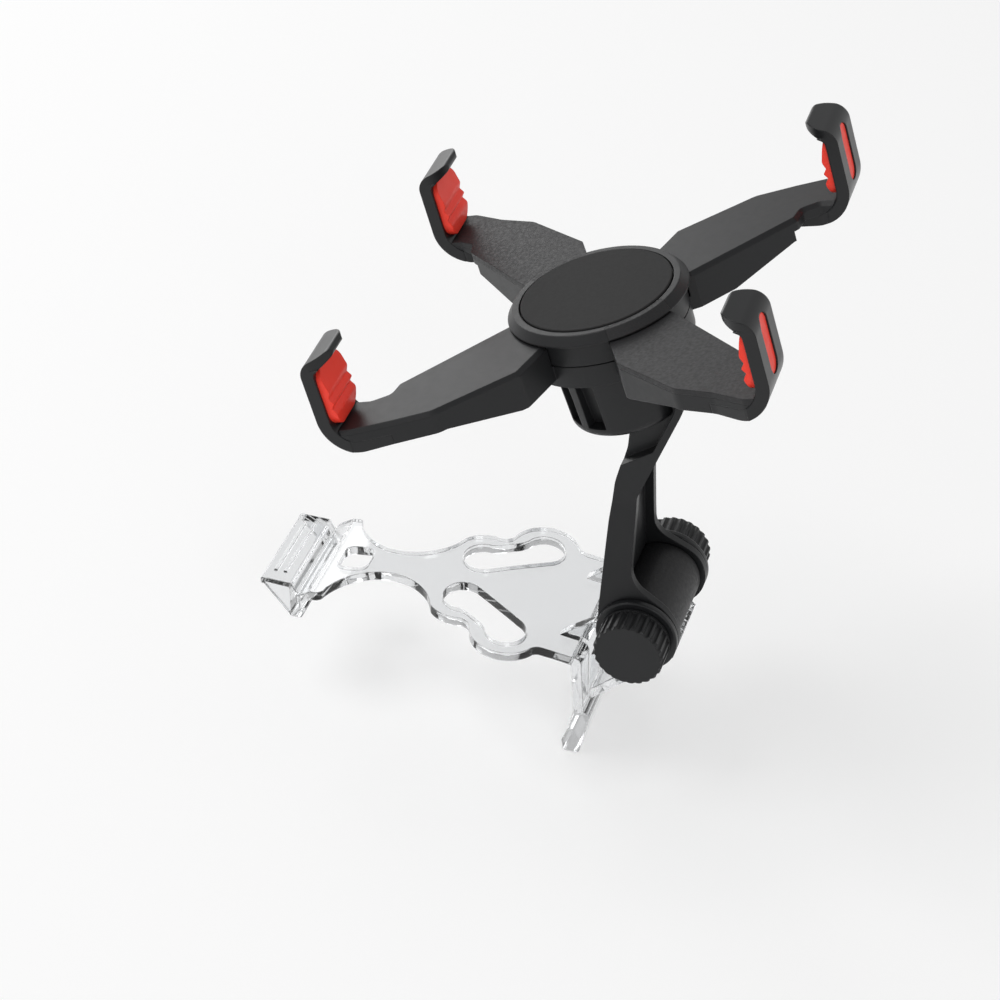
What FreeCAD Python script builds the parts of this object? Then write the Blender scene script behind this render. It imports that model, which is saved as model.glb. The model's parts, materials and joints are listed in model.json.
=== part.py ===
"""Phone clip: a clear saddle, a tilting arm and a four-armed head with padded hooks.

A black arm tilts on a knobbed hinge behind the saddle and carries a head with two
crossed bars, whose hooks hold the phone.
Sizes are in millimetres. +X is the user's right, -Y points at the user, +Z is up.
The origin lies on the plane of symmetry, on the underside of the saddle plate.
"""
import FreeCAD, Part
import math
import os

Vector = FreeCAD.Vector

# General fits
PRESS_GAP = 0.05
RUN_GAP = 0.05
FACE_GAP = 0.3
BODY_GAP = 0.35

# How far cutters run past a face, and how far joined pieces reach into each other
CUT_OVER = 1.0
WELD = 0.5
EDGE_ROUND = 0.5
SMALL_ROUND = 0.3
SAME_PLACE = 0.1
SAME_POINT = 1e-6

# Saddle plate: a crowned sheet seen from above
SADDLE_THICK = 2.6
CROWN_RADIUS = 230.0
CROWN_Y = 6.0
SADDLE_FRONT_Y = -33.0
SADDLE_REAR_Y = 44.8
NOSE_HALF = 16.3
NOSE_OVERLAP = 0.2
WAIST_CENTRE = (20.3, -11.0)
WAIST_RADIUS = 15.5
MIDDLE_HALF = 13.0
WINDOW_FRONT = (8.3, 10.0)
WINDOW_REAR = (17.0, 24.0)
WINDOW_RADIUS = 5.2
WINDOW_PINCH = 1.7
WINDOW_END_SHARE = 0.3
WINDOW_RIM = 3.9
TAIL_HALF = 20.0
OUTLINE_INNER_ROUND = 3.0
OUTLINE_OUTER_ROUND = 1.8
KEYHOLE_HALF = 4.4
KEYHOLE_FRONT_Y = -26.0
KEYHOLE_REAR_Y = -17.8
KEYHOLE_ROUND = 2.6

# Front wall, its lip and the finger tab
FRONT_WALL_Y = -35.3
FRONT_WALL_THICK = 3.0
FRONT_WALL_DROP = 10.8
FRONT_LIP_REACH = 0.9
FRONT_LIP_HEIGHT = 2.6
VALLEY_Y = -32.8
VALLEY_Z = -2.5
VALLEY_RUN = 4.0
VALLEY_RIM = 1.7
VALLEY_FRONT_FLOOR = 0.5
VALLEY_REAR_FLOOR = 0.3
FRONT_INNER_ROUND = 0.8
FRONT_OVERLAP = 1.5
LIP_TOP_ROUND = 0.2
LIP_NOSE_ROUND = 0.4
TAB_HALF = 14.3
TAB_REACH = 7.6
TAB_THICK = 1.8
TAB_RIB_HEIGHT = 0.6
TAB_RIB_WIDTH = 0.9
TAB_RIB_HALF = 10.6
TAB_RIB_PLACES = (2.2, 4.8)
TAB_FIN_THICK = 1.5
TAB_TAPER = 0.4
TAB_RIB_ROUND = 0.25
TAB_FIN_EDGE = 0.6

# Rear wall and the leg that hooks in below
REAR_WALL_THICK = 2.8
REAR_WALL_DROP = 21.0
LEG_HALF = 17.0
LEG_DROP = 34.0
LEG_THICK = 4.6
LEG_REACH = 2.8
LEG_TOE = 3.2
LEG_TOE_CHAMFER = 0.4
LEG_TOE_ROUND = 0.9
LEG_HEEL_ROUND = 1.2
LEG_INNER_SHARE = 0.55
LEG_INNER_RISE = 3.2
LEG_INNER_ROUND = 0.8
LEG_TAPER_TOP_Z = -2.0
LEG_TAPER_ROUND = 3.0
REAR_OUTER_STEP = 1.2
REAR_TOP_ROUND = 2.0
REAR_INNER_ROUND = 1.0
REAR_OVERLAP = 1.5

# Tilt hinge
HINGE_Y = 57.4
HINGE_Z = 6.9
BARREL_RADIUS = 9.3
BARREL_HALF = 11.1
BARREL_END_GAP = 0.01
WASHER_THICK = 0.7
WASHER_RADIUS = 8.2
EAR_THICK = 1.9
EAR_RADIUS = 10.4
COLLAR_THICK = 1.8
COLLAR_RADIUS = 10.4
COLLAR_ROUND = 0.4
KNOB_LENGTH = 7.4
KNOB_TIP_RADIUS = 8.9
KNOB_GROOVE_DEPTH = 0.65
KNOB_GROOVES = 24
KNOB_GROOVE_SHARE = 0.36
KNOB_RIM = 0.8
KNOB_EDGE = 0.5
BOLT_RADIUS = 2.5
BOLT_HEAD_FLATS = 8.0
BOLT_HEAD_THICK = 3.4
NUT_THICK = 4.4
BOLT_END_SINK = 0.4
CRADLE_THICK = 2.5
CRADLE_START_DEG = 181.0
CRADLE_END_DEG = 316.0
CRADLE_STEPS = 4
BRACE_THICK = 2.4
GUSSET_THICK = 2.2
GUSSET_FRONT_Y = 37.2
GUSSET_ROOT = 0.6
GUSSET_TIP = 1.6
GUSSET_TIP_ROUND = 0.6
GUSSET_FLANK = 1.8
GUSSET_FLANK_Z = -8.0
GUSSET_FLANK_ROUND = 1.5
GUSSET_LOW_Z = -19.0
GUSSET_TOP_Z = -1.0
BRACE_DEG = CRADLE_END_DEG - 4.0
WEB_TOP_Z = 1.5
WEB_DROP = 3.0
WEB_TIP = 2.0
WEB_DEGS = (215.0, 228.0)
WEB_LOW_Z = -6.0
SCREW_RADIUS = 1.0
SCREW_HEAD_RADIUS = 2.0
SCREW_HEAD_THICK = 1.2
SCREW_LENGTH = 7.0
SCREW_SLOT = 0.5
SCREW_SLOT_LIFT = 0.05
SCREW_END_GAP = 0.5
BARREL_SCREW_X = BARREL_HALF - 4.1

# Support arm: plate, flared foot with two ears, rear channel and side pockets
ARM_HALF = 8.9
ARM_FRONT_Y = HINGE_Y - 9.8
ARM_THICK = 6.9
ARM_KINK_Z = 44.0
ARM_SWELL_HALF = 10.9
ARM_SWELL_Z = 29.0
ARM_FLARE_Z = 13.0
ARM_FLARE_ROUND = 14.0
ARM_FOOT_DEG = 150.0
ARM_KINK_ROUND = 3.0
ARM_FRONT_SWELL = 0.3
ARM_FRONT_ROUNDS = (40.0, 30.0, 14.0, 10.0)
EAR_TANGENT_DEG = 60.0
EAR_FILLET = 7.0
NECK_FRONT_LEAN = 3.4
NECK_FRONT_Z = 56.5
NECK_REAR_LEAN = 10.2
NECK_REAR_Z = 71.0
NECK_BACK_V = 19.5
NECK_BACK_DROP = 8.0
NECK_TOP_DROP = 1.0
NECK_SLOPE_ROUND = 12.0
NECK_BACK_ROUND = 6.0
NECK_TOP_ROUND = 2.0
NECK_TOP_STEP = 2.5
NECK_START_SHARE = 0.4
NECK_START_RISE = 4.0
NECK_INNER = ((2.6, 2.0), (3.0, 12.0))
NECK_INNER_TOP_V = 8.0
NECK_FLANK_DROP = 2.0
POCKET_DEPTH = 3.2
POCKET_FRONT_Z = 51.1
POCKET_REAR_Z = 58.6
POCKET_RIM = 1.9
POCKET_TOP_DROP = 3.0
POCKET_ROUND = 1.5
CHANNEL_DEPTH = 2.4
CHANNEL_WALL = 2.2
CHANNEL_TOP_Z = 50.0
CHANNEL_ROUND = 2.5

# Head: a tilted plane through the centre of the pad's face
HEAD_CENTRE = (0.0, 40.4, 95.8)
HEAD_SWIVEL_DEG = 1.0
HEAD_TILT_DEG = 16.5
PAD_RADIUS = 18.4
PAD_THICK = 1.8
PAD_GAP = 0.35
RING_FLAT = 1.6
RING_DROP = 0.3
RING_RADIUS = PAD_RADIUS + 3.6
RING_SLOPE = 2.0
RING_RIM = 0.35
RING_INNER = 10.0
HUB_RADIUS = PAD_RADIUS + 2.1
HUB_WALL = 3.0
UPPER_HUB_BOTTOM = 8.5
UPPER_HUB_FLOOR = 2.6
LOWER_HUB_BOTTOM = 14.4
LOWER_HUB_FLOOR = 2.4
BOSS_RADIUS = 6.5
CUP_TOP_RADIUS = 15.2
CUP_MID_RADIUS = 14.6
CUP_FOOT_RADIUS = 14.0
CUP_MID_DROP = 7.0
CUP_BOTTOM = 33.0
CUP_PLATE = 3.2
CUP_WALL = 3.4
CUP_FLUTES = 6
CUP_FLUTE_PITCH_DEG = 30.0
CUP_FLUTE_WIDTH = 5.0
CUP_FLUTE_DEPTH = 1.7
CUP_FLUTE_HEIGHT = 14.0
CUP_FLUTE_DROP = 1.6
CUP_FLUTE_LEAN_DEG = 6.0
CUP_TOP_ROUND = 0.4
CUP_SIDE_ROUND = 8.0
CUP_FOOT_ROUND = 2.2
CUP_CAP_THICK = 1.6
SWIVEL_HEAD_THICK = 3.0
SWIVEL_HEAD_SINK = 0.2
SWIVEL_END = 1.0
SWIVEL_WASHER_THICK = 0.8
SWIVEL_WASHER_RADIUS = 5.5
CONE_WASHER_THICK = 0.7
CONE_WASHER_RISE = 0.7
CONE_WASHER_LAND = 0.4
SWIVEL_NUT_THICK = 3.8
FRICTION_RING_THICK = 0.9
FRICTION_RING_INSET = 0.8

# Hooks and their rubber pads
UPPER_HOOK_U = 42.3
LOWER_HOOK_U = 43.6
HOOK_WIDTH = 14.0
HOOK_OUTER_V = 53.7
HOOK_WALL = 3.1
HOOK_BAND = 2.5
HOOK_TUCK = 15.9
HOOK_TURN_RADIUS = 9.2
HOOK_SAG = 0.9
HOOK_WALL_TOP = 15.0
HOOK_LIP_RISE = 2.6
HOOK_LIP_REACH = 8.0
HOOK_LIP_THICK = 2.2
HOOK_LIP_ROUND = 6.0
HOOK_LIP_BEND = 4.2
HOOK_LIP_TIP_ROUND = 0.9
HOOK_LIP_INNER_ROUND = 1.6
HOOK_LIP_TIP_SHARE = 0.3
HOOK_LIP_OVER = 0.2
GRIP_WIDTH = 12.4
GRIP_THICK = 2.3
GRIP_SEAT = 0.6
GRIP_BOTTOM_GAP = 0.3
GRIP_TOP = 12.9
GRIP_GROOVE = 0.9
GRIP_LOW_ROUND = 4.6
GRIP_HIGH_ROUND = 3.2
GRIP_TOP_LEAN = 1.5
GRIP_TOP_ROUND = 0.8
GRIP_BULGES = ((0.2, 3.0), (0.0, 0.0), (-0.1, -2.6))
GRIP_BULGE_ROUND = 1.5
GRIP_RIDGE_ROUND = 0.4
GRIP_GROOVE_RUN = 1.3
GRIP_FOOT_LEAN = 0.6
GRIP_FOOT_ROUND = 1.0
SLOT_WIDTH = 5.4
SLOT_LOW = -0.9
SLOT_HIGH = 13.8
SLOT_FILL_DEPTH = 2.7
SLOT_END_SHARE = 0.98
HOOK_SCREW_PLACE = HOOK_OUTER_V - 11.7
HOOK_SCREW_HEAD_ROOM = 1.2
HOOK_SCREW_SINK = 0.2
HOOK_SCREW_COVER_GAP = 0.4

# Crossed bars, drawn for a rear right arm and mirrored for the others
BAR_TOP = 3.0
BAR_DEEP = 12.4
BAR_SHALLOW = 8.6
BAR_RISE_START = 10.5
BAR_RISE_END = 28.5
BAR_EDGE = 1.0
BAR_ROOT_RADIUS = HUB_RADIUS - 0.9
BAR_OUTER_ROOT_DEG = 22.0
BAR_INNER_ROOT_DEG = 68.0
BAR_SIDE = 6.9
BAR_ROUNDS = (1.5, 5.0, 6.0, 3.0)
BAR_NOTCH = (4.0, 0.7)
BAR_NOTCH_RUN = 4.4
BAR_TAPER_SHARES = (0.3, 0.5)
BAR_TURN_DEG = 45.0
BAR_WRIST_V = HOOK_OUTER_V - 6.5
UPPER_SHOULDER = (HUB_RADIUS + 8.9, 12.6)
UPPER_ELBOW = (UPPER_HOOK_U + 0.1, HOOK_OUTER_V - 24.2)
UPPER_FOREARM = (UPPER_HOOK_U + 3.0, HOOK_OUTER_V - 14.6)
UPPER_INNER_NEAR = (8.7, HUB_RADIUS + 0.1)
UPPER_INNER_FAR = (UPPER_HOOK_U - 12.7, HOOK_OUTER_V - 11.2)
LOWER_SHOULDER = (HUB_RADIUS + 9.9, 11.0)
LOWER_ELBOW = (LOWER_HOOK_U + 1.1, HOOK_OUTER_V - 25.9)
LOWER_FOREARM = (LOWER_HOOK_U + 4.3, HOOK_OUTER_V - 16.2)
LOWER_INNER_NEAR = (8.9, HUB_RADIUS + 0.6)
LOWER_INNER_FAR = (LOWER_HOOK_U - 13.0, HOOK_OUTER_V - 12.2)
COVER_THICK = 1.4
COVER_INSET = 0.15
COVER_SECTOR_DEGS = (BAR_OUTER_ROOT_DEG + 2.0, 46.0, BAR_INNER_ROOT_DEG - 0.5)
HOOK_SCREW_ROOM = BAR_SHALLOW - HOOK_SCREW_HEAD_ROOM - BAR_TOP - COVER_THICK
HOOK_SCREW_LENGTH = HOOK_SCREW_ROOM - HOOK_SCREW_COVER_GAP


def rounded_wire(points, place):
    """Closed wire through (a, b, radius) corners; place turns (a, b) into a vector."""
    count = len(points)
    entries = []
    for index, (a, b, radius) in enumerate(points):
        here = Vector(a, b, 0)
        before = Vector(points[index - 1][0], points[index - 1][1], 0)
        after = Vector(points[(index + 1) % count][0], points[(index + 1) % count][1], 0)
        if radius <= 0:
            entries.append((here, here, here))
            continue
        back = (before - here).normalize()
        ahead = (after - here).normalize()
        half = math.acos(max(-1.0, min(1.0, back.dot(ahead)))) / 2
        reach = radius / math.tan(half)
        middle = (back + ahead).normalize() * (radius / math.sin(half) - radius)
        entries.append((here + back * reach, here + middle, here + ahead * reach))
    edges = []
    for index, (start, mid, end) in enumerate(entries):
        following = entries[(index + 1) % count][0]
        if start.distanceToPoint(end) > SAME_POINT:
            edges.append(Part.Arc(place(start), place(mid), place(end)).toShape())
        if end.distanceToPoint(following) > SAME_POINT:
            edges.append(Part.LineSegment(place(end), place(following)).toShape())
    return Part.Wire(edges)


def plan_prism(points, z_low, z_high):
    """Outline in X and Y, drawn up along Z."""
    wire = rounded_wire(points, lambda p: Vector(p.x, p.y, z_low))
    return Part.Face(wire).extrude(Vector(0, 0, z_high - z_low))


def side_prism(points, x_low, x_high):
    """Outline in Y and Z, drawn along X."""
    wire = rounded_wire(points, lambda p: Vector(x_low, p.x, p.y))
    return Part.Face(wire).extrude(Vector(x_high - x_low, 0, 0))


def front_prism(points, y_low, y_high):
    """Outline in X and Z, drawn along Y."""
    wire = rounded_wire(points, lambda p: Vector(p.x, y_low, p.y))
    return Part.Face(wire).extrude(Vector(0, y_high - y_low, 0))


def turned(points):
    """Outline in radius and Z, turned about Z."""
    wire = rounded_wire(points, lambda p: Vector(p.x, 0, p.y))
    return Part.Face(wire).revolve(Vector(0, 0, 0), Vector(0, 0, 1), 360)


def rod_z(radius, low, high, x=0.0, y=0.0):
    return Part.makeCylinder(radius, high - low, Vector(x, y, low), Vector(0, 0, 1))


def rod_x(radius, low, high):
    """Cylinder on the hinge axis."""
    return Part.makeCylinder(radius, high - low, Vector(low, HINGE_Y, HINGE_Z), Vector(1, 0, 0))


def hexagon(flats, low, high, place):
    """Hexagonal prism along the third coordinate that place receives."""
    corners = []
    reach = flats / math.sqrt(3)
    for step in range(6):
        turn = math.radians(60 * step + 30)
        corners.append((reach * math.cos(turn), reach * math.sin(turn)))
    points = [place(a, b, low) for a, b in corners]
    face = Part.Face(Part.makePolygon(points + points[:1]))
    return face.extrude(place(0, 0, high) - place(0, 0, low))


def joined(shapes):
    """One solid from pieces that meet."""
    whole = shapes[0].multiFuse(shapes[1:]) if len(shapes) > 1 else shapes[0]
    return whole.removeSplitter()


def mirrored_x(shape):
    return shape.mirror(Vector(0, 0, 0), Vector(1, 0, 0))


def mirrored_y(shape):
    return shape.mirror(Vector(0, 0, 0), Vector(0, 1, 0))


def both_sides(shape):
    return [shape, mirrored_x(shape)]


def to_head(shape):
    """Moves a piece drawn around the pad's centre onto the tilted head."""
    moved = shape.copy()
    moved.rotate(Vector(0, 0, 0), Vector(1, 0, 0), HEAD_TILT_DEG)
    moved.translate(Vector(*HEAD_CENTRE))
    return moved


def on_swivel(shape):
    """Moves a piece of the turning head onto its axis, a little turned as it stands."""
    turned_shape = shape.copy()
    turned_shape.rotate(Vector(0, 0, 0), Vector(0, 0, 1), HEAD_SWIVEL_DEG)
    return to_head(turned_shape)


def from_head(v, h):
    """Y and Z of a point drawn on the head's middle plane."""
    tilt = math.radians(HEAD_TILT_DEG)
    y = HEAD_CENTRE[1] + v * math.cos(tilt) - h * math.sin(tilt)
    z = HEAD_CENTRE[2] + v * math.sin(tilt) + h * math.cos(tilt)
    return y, z


# Saddle plate in plan: discs round the windows and a waist in front of them
def crown_z(y, thickness):
    """Height of the crowned plate at y, from its underside up by thickness."""
    radius = CROWN_RADIUS + thickness
    centre = -math.sqrt(CROWN_RADIUS ** 2 - CROWN_Y ** 2)
    return centre + math.sqrt(radius ** 2 - (y - CROWN_Y) ** 2)


def saddle_plan():
    disc_height = SADDLE_THICK
    rim = WINDOW_RADIUS + WINDOW_RIM
    blocks = [Part.makeBox(2 * NOSE_HALF, WAIST_CENTRE[1] - SADDLE_FRONT_Y, disc_height,
                           Vector(-NOSE_HALF, SADDLE_FRONT_Y, 0)),
              Part.makeBox(2 * MIDDLE_HALF, WINDOW_REAR[1] - WAIST_CENTRE[1], disc_height,
                           Vector(-MIDDLE_HALF, WAIST_CENTRE[1], 0)),
              Part.makeBox(2 * TAIL_HALF, SADDLE_REAR_Y - WINDOW_REAR[1], disc_height,
                           Vector(-TAIL_HALF, WINDOW_REAR[1], 0))]
    for x, y in (WINDOW_FRONT, WINDOW_REAR):
        blocks.extend(both_sides(rod_z(rim, 0, disc_height, x, y)))
    block = joined(blocks)
    waist = rod_z(WAIST_RADIUS, 0, disc_height, *WAIST_CENTRE)
    block = block.cut(waist).cut(mirrored_x(waist)).removeSplitter()
    floor = [face for face in block.Faces if face.BoundBox.ZMax < disc_height / 2][0]
    face = floor.makeOffset2D(OUTLINE_INNER_ROUND).makeOffset2D(-OUTLINE_INNER_ROUND)
    return face.makeOffset2D(-OUTLINE_OUTER_ROUND).makeOffset2D(OUTLINE_OUTER_ROUND)


def window_cutter():
    """Bean-shaped window on the right side: two round ends and a pinched middle."""
    run = Vector(WINDOW_REAR[0] - WINDOW_FRONT[0], WINDOW_REAR[1] - WINDOW_FRONT[1], 0)
    length = run.Length
    run.normalize()
    side = Vector(run.y, -run.x, 0)
    start = Vector(WINDOW_FRONT[0], WINDOW_FRONT[1], 0)

    def spot(along, across, radius):
        point = start + run * along + side * across
        return (point.x, point.y, radius)

    pinched = WINDOW_RADIUS - WINDOW_PINCH
    ends = length * WINDOW_END_SHARE
    bridge = [spot(0, -WINDOW_RADIUS, 0), spot(length, -WINDOW_RADIUS, 0), spot(length, WINDOW_RADIUS, 0),
              spot(length - ends, pinched, ends), spot(ends, pinched, ends), spot(0, WINDOW_RADIUS, 0)]
    deep = 4 * SADDLE_THICK
    return joined([rod_z(WINDOW_RADIUS, -deep, deep, *WINDOW_FRONT),
                   rod_z(WINDOW_RADIUS, -deep, deep, *WINDOW_REAR),
                   plan_prism(bridge, -deep, deep)])


def saddle_front():
    """Valley, front wall with its lip, and finger tab, as one section."""
    ridge_y = VALLEY_Y - VALLEY_RIM
    tab_y = FRONT_WALL_Y - TAB_REACH
    wall_in = FRONT_WALL_Y + FRONT_WALL_THICK
    slope_y = VALLEY_Y + VALLEY_RUN
    back_y = slope_y + FRONT_OVERLAP
    section = [(tab_y, 0, EDGE_ROUND),
               (ridge_y, 0, EDGE_ROUND),
               (VALLEY_Y - VALLEY_FRONT_FLOOR, VALLEY_Z, SMALL_ROUND),
               (VALLEY_Y + VALLEY_REAR_FLOOR, VALLEY_Z, SMALL_ROUND),
               (slope_y, crown_z(slope_y, SADDLE_THICK), 0),
               (back_y, crown_z(back_y, SADDLE_THICK), 0),
               (back_y, crown_z(back_y, 0), 0),
               (slope_y + WELD, crown_z(slope_y + WELD, 0), 0),
               (wall_in, VALLEY_Z - SADDLE_THICK, FRONT_INNER_ROUND),
               (wall_in, FRONT_LIP_HEIGHT - FRONT_WALL_DROP, LIP_TOP_ROUND),
               (wall_in + FRONT_LIP_REACH, FRONT_LIP_HEIGHT / 2 - FRONT_WALL_DROP, LIP_NOSE_ROUND),
               (wall_in, -FRONT_WALL_DROP, EDGE_ROUND),
               (FRONT_WALL_Y, -FRONT_WALL_DROP, EDGE_ROUND),
               (FRONT_WALL_Y, -TAB_THICK - TAB_TAPER, EDGE_ROUND),
               (tab_y, -TAB_THICK, EDGE_ROUND)]
    pieces = [side_prism(section, -TAB_HALF, TAB_HALF)]
    for place in TAB_RIB_PLACES:
        front = FRONT_WALL_Y - place - TAB_RIB_WIDTH / 2
        rear = FRONT_WALL_Y - place + TAB_RIB_WIDTH / 2
        rib = [(front, -SMALL_ROUND, 0), (rear, -SMALL_ROUND, 0),
               (rear, TAB_RIB_HEIGHT, TAB_RIB_ROUND), (front, TAB_RIB_HEIGHT, TAB_RIB_ROUND)]
        pieces.append(side_prism(rib, -TAB_RIB_HALF, TAB_RIB_HALF))
    fin_top = SMALL_ROUND - TAB_THICK
    fin_foot = TAB_FIN_EDGE - FRONT_WALL_DROP
    fin = [(tab_y + TAB_FIN_EDGE, fin_top, 0), (FRONT_WALL_Y + WELD, fin_top, 0),
           (FRONT_WALL_Y + WELD, fin_foot, 0), (FRONT_WALL_Y, fin_foot, 0)]
    pieces.extend(both_sides(side_prism(fin, TAB_HALF - TAB_FIN_THICK, TAB_HALF)))
    return pieces


def saddle_rear():
    """Rear wall and the leg that turns in at its foot."""
    inner = SADDLE_REAR_Y - REAR_WALL_THICK
    start_y = inner - REAR_OVERLAP
    toe_z = LEG_TOE - LEG_DROP
    section = [(SADDLE_REAR_Y, crown_z(SADDLE_REAR_Y, SADDLE_THICK), REAR_TOP_ROUND),
               (start_y, crown_z(start_y, SADDLE_THICK), 0),
               (start_y, crown_z(start_y, 0), 0),
               (inner, crown_z(start_y, 0), REAR_INNER_ROUND),
               (inner, -REAR_WALL_DROP, REAR_TOP_ROUND),
               (inner - LEG_REACH * LEG_INNER_SHARE, toe_z + LEG_INNER_RISE, LEG_INNER_ROUND),
               (inner - LEG_REACH, toe_z, EDGE_ROUND),
               (inner - LEG_REACH + LEG_TOE_CHAMFER, -LEG_DROP, LEG_TOE_ROUND),
               (inner - LEG_REACH + LEG_THICK, -LEG_DROP, LEG_HEEL_ROUND),
               (inner + LEG_THICK, -REAR_WALL_DROP, LEG_TOE_ROUND),
               (SADDLE_REAR_Y, REAR_OUTER_STEP - REAR_WALL_DROP, LEG_INNER_ROUND)]
    wall = side_prism(section, -TAIL_HALF, TAIL_HALF)
    above = 4 * SADDLE_THICK
    right = [(LEG_HALF, -LEG_DROP - CUT_OVER, 0), (LEG_HALF, -REAR_WALL_DROP, LEG_TAPER_ROUND),
             (TAIL_HALF, LEG_TAPER_TOP_Z, 0), (TAIL_HALF, above, 0)]
    left = [(-x, z, radius) for x, z, radius in reversed(right)]
    taper = front_prism(left + right, start_y - 2 * LEG_THICK, SADDLE_REAR_Y + 2 * LEG_THICK)
    return wall.common(taper)


def hinge_spot(angle_deg, radius):
    """Point at an angle round the hinge axis, as Y and Z."""
    turn = math.radians(angle_deg)
    return HINGE_Y + radius * math.cos(turn), HINGE_Z + radius * math.sin(turn)


def saddle_cradle():
    """Trough that carries the barrel, its slanted brace, the web behind the wall and two gussets."""
    inner = BARREL_RADIUS + PRESS_GAP
    outer = inner + CRADLE_THICK
    half = BARREL_HALF
    far = 3 * outer
    fan = [(HINGE_Y, HINGE_Z, 0)]
    for step in range(CRADLE_STEPS + 1):
        angle = CRADLE_START_DEG + (CRADLE_END_DEG - CRADLE_START_DEG) * step / CRADLE_STEPS
        fan.append((*hinge_spot(angle, far), 0))
    trough = rod_x(outer, -half, half).common(side_prism(fan, -half, half))
    wall_y = SADDLE_REAR_Y - WELD
    low = hinge_spot(BRACE_DEG, outer)
    high = hinge_spot(BRACE_DEG, outer - BRACE_THICK)
    slope = math.tan(math.radians(BRACE_DEG - 270))
    brace = [(*low, 0), (*high, 0),
             (wall_y, high[1] - (high[0] - wall_y) * slope, 0),
             (wall_y, low[1] - (low[0] - wall_y) * slope, 0)]
    tip_y, tip_z = hinge_spot(CRADLE_START_DEG, outer)
    web = [(wall_y, crown_z(wall_y, 0), 0), (wall_y, WEB_TOP_Z, 0), (tip_y, tip_z - WEB_DROP, 0),
           (tip_y + WEB_TIP, tip_z - WEB_DROP, 0), (*hinge_spot(WEB_DEGS[0], inner + CUT_OVER), 0),
           (*hinge_spot(WEB_DEGS[1], inner + CUT_OVER), 0), (wall_y, WEB_LOW_Z, 0)]
    gusset = [(GUSSET_FRONT_Y, crown_z(GUSSET_FRONT_Y, WELD), 0),
              (GUSSET_FRONT_Y, crown_z(GUSSET_FRONT_Y, SADDLE_THICK), 0),
              (tip_y, tip_z, GUSSET_TIP_ROUND), (tip_y + GUSSET_TIP, tip_z, SMALL_ROUND),
              (tip_y + GUSSET_FLANK, GUSSET_FLANK_Z, GUSSET_FLANK_ROUND),
              (wall_y, GUSSET_LOW_Z, 0), (wall_y, GUSSET_TOP_Z, 0)]
    gusset_solid = side_prism(gusset, half - GUSSET_ROOT, half + GUSSET_THICK)
    gusset_solid = gusset_solid.cut(rod_x(EAR_RADIUS + BODY_GAP, half, half + 2 * GUSSET_THICK))
    pieces = [trough, side_prism(brace, -half, half), side_prism(web, -half, half)]
    pieces.extend(both_sides(gusset_solid))
    return pieces


def barrel_screw_seat():
    """Height of the trough's underside, where the screw heads rest."""
    return HINGE_Z - BARREL_RADIUS - PRESS_GAP - CRADLE_THICK


def barrel_screw(x):
    """One screw up through the trough into the barrel, along Z."""
    seat = barrel_screw_seat()
    shank = rod_z(SCREW_RADIUS, seat - WELD, seat + SCREW_LENGTH, x, HINGE_Y)
    head = rod_z(SCREW_HEAD_RADIUS, seat - SCREW_HEAD_THICK, seat, x, HINGE_Y)
    slot = Part.makeBox(2 * SCREW_HEAD_RADIUS, SCREW_SLOT, SCREW_SLOT,
                        Vector(x - SCREW_HEAD_RADIUS, HINGE_Y - SCREW_SLOT / 2,
                               seat - SCREW_HEAD_THICK - SCREW_SLOT_LIFT))
    return joined([shank, head]).cut(slot)


def barrel_screws():
    return [barrel_screw(side * BARREL_SCREW_X) for side in (-1, 1)]


def screw_holes():
    """Holes for the barrel screws, with room below for their heads."""
    seat = barrel_screw_seat()
    holes = []
    for side in (-1, 1):
        x = side * BARREL_SCREW_X
        holes.append(rod_z(SCREW_RADIUS, seat - CUT_OVER, seat + SCREW_LENGTH + SCREW_END_GAP, x, HINGE_Y))
        room = SCREW_HEAD_RADIUS + 2 * PRESS_GAP
        holes.append(rod_z(room, seat - 4 * SCREW_HEAD_THICK, seat, x, HINGE_Y))
    return holes


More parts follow.
